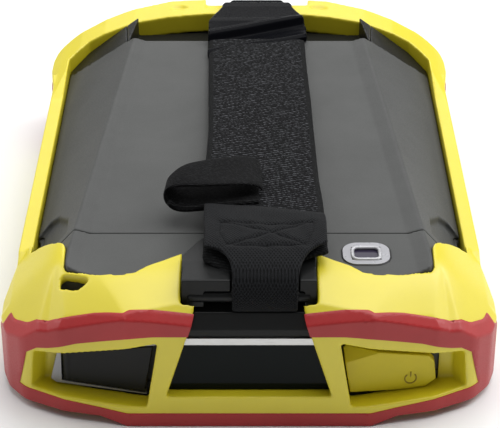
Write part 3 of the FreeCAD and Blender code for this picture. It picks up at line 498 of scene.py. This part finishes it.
def build_casing():
    """The back's mouldings, the bracket and the near end's small parts, with rounded edges."""
    for node, name in (("rear_housing", "rear_skin"), ("battery_door", "door_skin")):
        skin = softened(name, [node], 0.5, 3, decimate=0.25)
        paint(skin, GREY)
        # The black second material goes on the faces beyond the far step line, as painted shade under the far rail
        skin.data.materials.append(BLACK)
        along = centres(skin)[1]
        skin.data.polygons.foreach_set("material_index", (along > FAR_STEP_SHADE_LINE).astype(int))
    for node, voxel, body in (
        ("strap_bracket", 0.3, DEVICE),
        ("nose_housing", 0.35, DEVICE),
        ("port_door", 0.25, "port_door_body"),
    ):
        paint(softened(node + "_skin", [node], voxel, 3, body), BLACK)


# The bead round the camera's window, in mm: middle, half its width and length, corner and bead radius
RING_MIDDLE = (35, -80, 42.2)
RING_HALF = (4.1, 3.4)
RING_CORNER = 1.7
RING_BEAD = 0.6


def build_camera_ring():
    """The brighter ring round the rear camera's window."""
    line = []
    for k, (sx, sy) in enumerate([(1, 1), (-1, 1), (-1, -1), (1, -1)]):
        x = RING_MIDDLE[0] + sx * (RING_HALF[0] - RING_CORNER)
        y = RING_MIDDLE[1] + sy * (RING_HALF[1] - RING_CORNER)
        for step in range(7):
            turn = math.radians(90 * k + 15 * step)
            line.append((x + RING_CORNER * math.cos(turn), y + RING_CORNER * math.sin(turn), RING_MIDDLE[2]))
    line += line[:2]
    paint(tubes("camera_ring", [line], RING_BEAD, DEVICE), SILVER_RING)


def build_power_key():
    """The power key, with its rounded edges and the power sign raised on its face, painted darker yellow as painted
    shade of an engraved sign.
    """
    key = softened("power_key_skin", ["power_key"], 0.25, 4, "power_key_body")
    paint(key, KEY_YELLOW)
    middle, across, up = Vector((48.1, -99.98, 10.9)), Vector((0.986, 0.165, 0)), Vector((0, 0, 1))
    radius, gap = 1.75, 38
    arc = [math.radians(90 + gap + turn) for turn in range(0, 360 - 2 * gap + 1, 8)]
    ring = [middle + across * radius * math.cos(a) + up * radius * math.sin(a) for a in arc]
    bar = [middle + up * height for height in (0.5, 1.1, 1.7, 2.4)]
    sign = tubes("power_sign", [ring, bar], 0.22, "power_key_body")
    # The sign gets the darker yellow as painted shade
    paint(sign, KEY_SIGN_SHADE)


def tubes(name, lines, radius, body, sides=8):
    """Round beads along lines of points, in one piece."""
    points, faces = [], []
    for line in lines:
        line = [Vector(point) for point in line]
        first = len(points)
        for i, point in enumerate(line):
            ahead = line[min(i + 1, len(line) - 1)] - line[max(i - 1, 0)]
            side = ahead.cross(Vector((0.3, 0.2, 1)).normalized()).normalized()
            other = ahead.normalized().cross(side)
            shrink = 0.6 if i in (0, len(line) - 1) else 1
            for k in range(sides):
                turn = 2 * math.pi * k / sides
                points.append(point + (side * math.cos(turn) + other * math.sin(turn)) * radius * shrink)
        for i in range(len(line) - 1):
            for k in range(sides):
                a, b = first + i * sides + k, first + i * sides + (k + 1) % sides
                faces.append((a, b, b + sides, a + sides))
        faces.append(tuple(first + k for k in range(sides)))
        faces.append(tuple(len(points) - sides + k for k in range(sides)))
    return mesh_piece(name, points, faces, body)


# Strap


def flowing(points, count):
    """Points spaced evenly along a smooth line through the middle of each run."""
    line = np.array(points, float)
    for _ in range(3):
        cut = np.empty((2 * len(line), line.shape[1]))
        cut[0], cut[-1] = line[0], line[-1]
        cut[1:-1:2] = 0.75 * line[:-1] + 0.25 * line[1:]
        cut[2::2] = 0.25 * line[:-1] + 0.75 * line[1:]
        line = cut
    steps = np.r_[0, np.cumsum(np.linalg.norm(np.diff(line, axis=0), axis=1))]
    even = np.linspace(0, steps[-1], count)
    return np.stack([np.interp(even, steps, line[:, k]) for k in range(line.shape[1])], axis=1)


def cloth(name, grid, thickness):
    """A closed sheet under a grid of points, thinner towards its edges."""
    rows, columns = grid.shape[:2]
    along = np.gradient(grid, axis=0)
    across = np.gradient(grid, axis=1)
    normal = np.cross(across, along)
    normal /= np.linalg.norm(normal, axis=2, keepdims=True)
    edge = np.minimum(np.arange(columns), np.arange(columns)[::-1])
    fall = 0.32 * thickness * np.exp(-edge / 1.2)
    top = grid - normal * fall[None, :, None]
    under = grid - normal * (thickness - fall)[None, :, None]
    points = np.concatenate([top.reshape(-1, 3), under.reshape(-1, 3)])
    half = rows * columns
    faces = []
    for i in range(rows - 1):
        for j in range(columns - 1):
            a = i * columns + j
            faces.append((a, a + 1, a + columns + 1, a + columns))
            faces.append((half + a, half + a + columns, half + a + columns + 1, half + a + 1))
    loop = list(range(columns)) + [i * columns + columns - 1 for i in range(1, rows)]
    loop += [(rows - 1) * columns + j for j in range(columns - 2, -1, -1)]
    loop += [i * columns for i in range(rows - 2, 0, -1)]
    for a, b in zip(loop, loop[1:] + loop[:1]):
        faces.append((a, b, half + b, half + a))
    return mesh_piece(name, points, faces, STRAP)


# How much higher the strap's middle is than its sides, in mm
CROWN = 0.35
# The width of the elastic's plain selvedges, and the line beyond which its end is painted dark as painted shadow of
# its end edges, in mm
SELVEDGE_WIDTH = 1.5
END_SHADE_LINE = -87.5


def strap_top(y):
    """The height of the strap's upper face along it."""
    return np.interp(y, [-99, -94, -90, -86, 60, 75], [45.4, 47.6, 49.4, 50.35, 44.75, 44.3])


def build_elastic():
    """The elastic hand strap, with smooth selvedges and an end cut away on both sides."""
    left = [
        (-98.5, -6.4), (-97.8, -7), (-96.8, -8), (-95.6, -9.6), (-94.5, -11.4), (-93.4, -13), (-92, -13.6),
        (-83.9, -13.3), (-75.8, -13.4), (-59.5, -13.8), (-45.9, -13.9), (-31.6, -13.8), (-9, -13.4), (15.2, -13.9),
        (43.1, -14.4), (70, -14.8),
    ]
    right = [
        (-98.5, 13.4), (-94.5, 13.8), (-93.2, 15.4), (-91.8, 18.5), (-90.9, 22.3), (-90.2, 23.3), (-88, 23),
        (-78.9, 22.9), (-59.5, 22.6), (-45.9, 21.9), (-31.6, 21.7), (-9, 21.4), (15.2, 21.2), (41.3, 20.6),
        (70, 20.4),
    ]
    rows = np.r_[np.linspace(-98.5, -88, 42), np.linspace(-87.5, 68, 300)]
    low = np.interp(rows, *zip(*left))
    high = np.interp(rows, *zip(*right))
    u = np.linspace(0, 1, 64)[None, :]
    x = low[:, None] + (high - low)[:, None] * u
    y = np.broadcast_to(rows[:, None], x.shape)
    sway = 0.05 * np.sin(y / 4.1 + 0.6 * np.sin(x / 5)) * smoothstep(-95, -70, y)
    crown = CROWN * (1 - (2 * u - 1) ** 2)
    z = strap_top(y) + sway + crown
    grid = np.stack([x, y, z], axis=2)
    strap = cloth("elastic_strap", grid, 1.8)
    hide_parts("hand_strap")
    paint(strap, ELASTIC)
    strap.data.materials.append(SELVEDGE_AND_END_SHADE)
    x, y, _ = centres(strap)
    rim = np.minimum(x - np.interp(y, *zip(*left)), np.interp(y, *zip(*right)) - x)
    # The selvedges get the darker cloth, and so does the end beyond the line, as painted shadow of the end's edges
    strap.data.polygons.foreach_set("material_index", ((rim < SELVEDGE_WIDTH) | (y < END_SHADE_LINE)).astype(int))


# The lines of stitches, as (x, y) points in mm
STITCH_LINES = [
    [(-8.4, -78.6), (-2, -79.8), (5, -80.8), (12, -80.4), (19, -78.8)],
    [(-6.6, -91.2), (5, -91.6), (16.6, -91.2)],
    [(-8.4, -78.6), (-8.8, -85), (-6.6, -91.2)],
    [(19, -78.8), (18.7, -85), (16.6, -91.2)],
    [(-6.6, -91.2), (5, -86.2), (19, -78.8)],
    [(-8.4, -78.6), (5, -84.6), (16.6, -91.2)],
]


def line_distance(x, y, line):
    """How far points are from a broken line."""
    best = np.full(x.shape, 1e9)
    for (ax, ay), (bx, by) in zip(line, line[1:]):
        span = (bx - ax) ** 2 + (by - ay) ** 2
        t = np.clip(((x - ax) * (bx - ax) + (y - ay) * (by - ay)) / span, 0, 1)
        best = np.minimum(best, np.hypot(x - ax - t * (bx - ax), y - ay - t * (by - ay)))
    return best


def webbing_relief(x, y):
    """How the webbing rises between its rows of stitches."""
    near_line = np.min([line_distance(x, y, line) for line in STITCH_LINES], axis=0)
    groove = -0.5 * np.exp(-((near_line / 0.8) ** 2))
    pucker = 0.16 * np.sin(x / 1.1 + 0.4 * y) * np.exp(-((near_line / 2.2) ** 2))
    flat = smoothstep(-96, -90, y)
    return (groove + pucker + 0.12 * np.sin(x / 3.3 + y / 2.7)) * flat


def webbing_front(y):
    """The height of the webbing's upper face where it lies on the strap."""
    return np.interp(y, [-92, -88, -82, -76, -71, -67.5], [50.8, 51.35, 51.5, 51.3, 50.9, 49.4])


# The narrow webbing's left and right edges, in mm
TAB_SIDES = (-4.9, 14.1)


def build_webbing():
    """The webbing sewn on the strap's end, which narrows to the tab round the bracket's bar."""
    path = [
        (-67.5, 49.4), (-71, 50.9), (-76, 51.3), (-82, 51.5), (-88, 51.35), (-92, 50.8), (-95.5, 50), (-98.8, 48.7),
        (-101.2, 47), (-102.7, 44.6), (-103.3, 42), (-103.4, 40), (-102.8, 38), (-101.4, 36.8), (-98.9, 36.8),
        (-97.4, 37.8), (-96.8, 40), (-96.7, 42), (-95.8, 44.5), (-93, 45.4), (-86, 45.4), (-72, 45.1),
    ]
    line = flowing(path, 330)
    lowest = int(np.argmin(line[:, 0]))
    u = np.linspace(0, 1, 96)
    left = [
        (-104, -4.9), (-99.5, -4.9), (-98.4, -5.2), (-96.8, -5.7), (-95.2, -6.5), (-93.8, -7.7), (-92.7, -9.1),
        (-92, -10.8), (-91.5, -12.3), (-90.8, -13), (-83.9, -13.1), (-75.8, -13.4), (-68, -13.6),
    ]
    right = [
        (-104, 14.1), (-101.5, 14.2), (-99.6, 14.7), (-97.4, 15.4), (-95.4, 16.3), (-93.7, 17.4), (-92.2, 18.8),
        (-90.6, 20.6), (-89.6, 22.2), (-88.9, 22.9), (-78.9, 22.9), (-68, 22.7),
    ]
    grid = np.empty((len(line), len(u), 3))
    for i, (y, z) in enumerate(line):
        low, high = np.interp(y, *zip(*left)), np.interp(y, *zip(*right))
        if i > lowest:
            low, high = TAB_SIDES
        x = low + (high - low) * u
        grid[i, :, 0], grid[i, :, 1], grid[i, :, 2] = x, y, z
        if i < lowest:
            crown = CROWN * (1 - (2 * u - 1) ** 2) * smoothstep(-96, -88, y)
            grid[i, :, 2] += webbing_relief(x, np.full_like(x, y)) + crown
            grid[i, :, 1] -= 0.16 * (x - 4.5) * smoothstep(-78, -68, y)
    webbing = cloth("webbing_tab", grid, 1.2)
    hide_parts("strap_tab")
    paint(webbing, TWILL)
    build_stitches()


def build_stitches():
    """The box of stitches, crossed by two diagonals, that holds the webbing to the strap."""
    lines = []
    pitch, gap = 2.1, 0.5
    lift = np.array([-0.15, 0.14, 0.2, 0.14, -0.15])
    for line in STITCH_LINES:
        points = np.array(line, float)
        steps = np.r_[0, np.cumsum(np.linalg.norm(np.diff(points, axis=0), axis=1))]
        for k in range(int(steps[-1] / pitch)):
            ends = np.linspace(k * pitch + gap / 2, (k + 1) * pitch - gap / 2, 5)
            x = np.interp(ends, steps, points[:, 0])
            y = np.interp(ends, steps, points[:, 1])
            crown = CROWN * (1 - ((x - 4.8) / 18) ** 2)
            z = webbing_front(y) + crown + webbing_relief(x, y) + lift
            lines.append(np.stack([x, y, z], axis=1))
    stitches = tubes("strap_stitches", lines, 0.2, STRAP, 6)
    paint(stitches, THREAD)
    return stitches


def build_loop():
    """The pull loop of folded webbing, sewn across the strap at its inner end."""
    near_edge = [
        (3, -62.5, 50.5), (-7, -64.2, 50.3), (-13.7, -64.2, 49.8), (-19.5, -64, 48.6), (-22.8, -63.6, 48.3),
        (-24.9, -62.8, 49.8), (-25.3, -61.8, 51.6), (-24.4, -61.4, 53.6), (-20.9, -62.6, 55), (-13.6, -63.2, 55.4),
        (-2.7, -61.8, 55.1), (2.2, -59.5, 53.6), (3.6, -58.2, 51.4),
    ]
    far_edge = [
        (3, -40, 50.1), (-7, -45, 50.3), (-13, -48, 50.3), (-18, -50.5, 50.2), (-21.5, -53, 50.4),
        (-23.6, -55, 51.3), (-24.4, -56, 52.7), (-23.8, -55, 54.5), (-20.5, -51, 55.7), (-16, -48.8, 56),
        (-8, -45.6, 55.5), (-0.5, -41.2, 54), (2.6, -39.5, 51.6),
    ]
    a, b = flowing(near_edge, 150), flowing(far_edge, 150)
    v = np.linspace(0, 1, 36)[None, :, None]
    grid = a[:, None, :] * (1 - v) + b[:, None, :] * v
    sag = 0.35 * np.sin(np.pi * v[..., 0]) * np.sin(grid[..., 0] / 4)
    grid[..., 2] += sag
    loop = cloth("pull_loop", grid, 1.1)
    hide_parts("strap_side_loop")
    paint(loop, LOOP_CLOTH)
    hem = [
        (3.2, -62.6, 50), (-7, -64, 49.7), (-14, -64.2, 49), (-19.5, -64, 48.2), (-23, -63.4, 48.6),
        (-24.6, -62.6, 50.2),
    ]
    roll = tubes("loop_hem", [flowing(hem, 60)], 1.0, STRAP, 12)
    paint(roll, LOOP_CLOTH)


def build_hook():
    """The hook's smooth moulding, with two ridges that run aslant across it."""
    hook = softened("strap_hook_skin", ["strap_hook"], 0.4, 6, STRAP)
    points = coordinates(hook)
    x, y, z = points.T.copy()
    # The near edge runs aslant, so the moulding behind it is stretched to meet it
    near_line = 55.5 + (x + 15) * 0.42 + 1.2 * np.sin((x + 15) / 36 * 2 * np.pi)
    y = y + (near_line - 60) * (1 - smoothstep(60, 85, y))
    # How far a point lies on the near side of the first ridge, and whether it is on the upper face
    behind = (69.5 + (x + 13) * 0.37) - y
    top = smoothstep(43.2, 44.2, z)
    # The far end narrows and drops
    far = np.clip((y - 79) / 17, 0, 1)
    middle = 2.7
    x = middle + (x - middle) * (1 - 0.27 * far)
    z = z - 1.2 * top * far
    # The step behind the first ridge, the ridge's crest and the rim along the near edge
    z = z - 2.3 * smoothstep(-0.2, 1.6, behind) * (1 - 0.8 * smoothstep(3, 12, behind)) * top
    z = z + 0.5 * np.exp(-((behind + 1.3) / 1.3) ** 2) * top
    z = z + 0.7 * np.exp(-(((y - near_line) - 2.2) / 1.8) ** 2) * top
    move_to(hook, np.stack([x, y, z], axis=1))
    paint(hook, HOOK_BLACK)


# Light, floor and camera


def area_light(name, place, target, width, height, power):
    """A rectangular lamp at a place, turned to its target, with its power in watts."""
    data = bpy.data.lights.new(name, "AREA")
    data.shape = "RECTANGLE"
    data.size = width
    data.size_y = height
    data.energy = power
    lamp = new_object(name, data)
    lamp.location = place
    lamp.rotation_euler = (Vector(target) - Vector(place)).to_track_quat("-Z", "Y").to_euler()


def build_stage():
    """A pale floor, a pale sky and four soft lights."""
    bpy.ops.mesh.primitive_plane_add(size=6, location=(0, 0.5, -0.0004))
    floor = bpy.context.object
    floor.name = "floor"
    material, _, _ = shader("floor_paper", (0.82, 0.82, 0.82), 0.9)
    floor.data.materials.append(material)
    world = bpy.data.worlds.new("studio")
    bpy.context.scene.world = world
    world.use_nodes = True
    background = world.node_tree.nodes["Background"]
    background.inputs["Color"].default_value = (1, 1, 1, 1)
    background.inputs["Strength"].default_value = 0.19
    area_light("top_light", (0.25, 0.2, 1.5), (0, 0, 0), 1.6, 1.6, 27)
    area_light("right_light", (1.0, 0.3, 0.7), (0, 0, 0.02), 0.6, 0.8, 8)
    area_light("left_light", (-1.0, 0.3, 0.7), (0, 0, 0.02), 0.6, 0.8, 5)
    area_light("back_light", (-0.1, 1.3, 0.7), (0, 0, 0.03), 1.2, 0.5, 4)
    bpy.context.scene.view_settings.view_transform = "Standard"


def build_camera():
    """A long lens, 30 degrees above the table, looking along the device from its near end."""
    data = bpy.data.cameras.new("camera")
    data.sensor_width = 36
    data.lens = 131
    data.shift_x = 0.002
    data.clip_start = 0.01
    camera = new_object("camera", data)
    camera.location = (0, -0.5445, 0.324)
    camera.rotation_euler = (math.radians(60), 0, 0)
    bpy.context.scene.camera = camera


build_camera()
build_stage()
paint_nodes()
build_bumper()
build_casing()
build_camera_ring()
build_power_key()
build_elastic()
build_webbing()
build_loop()
build_hook()
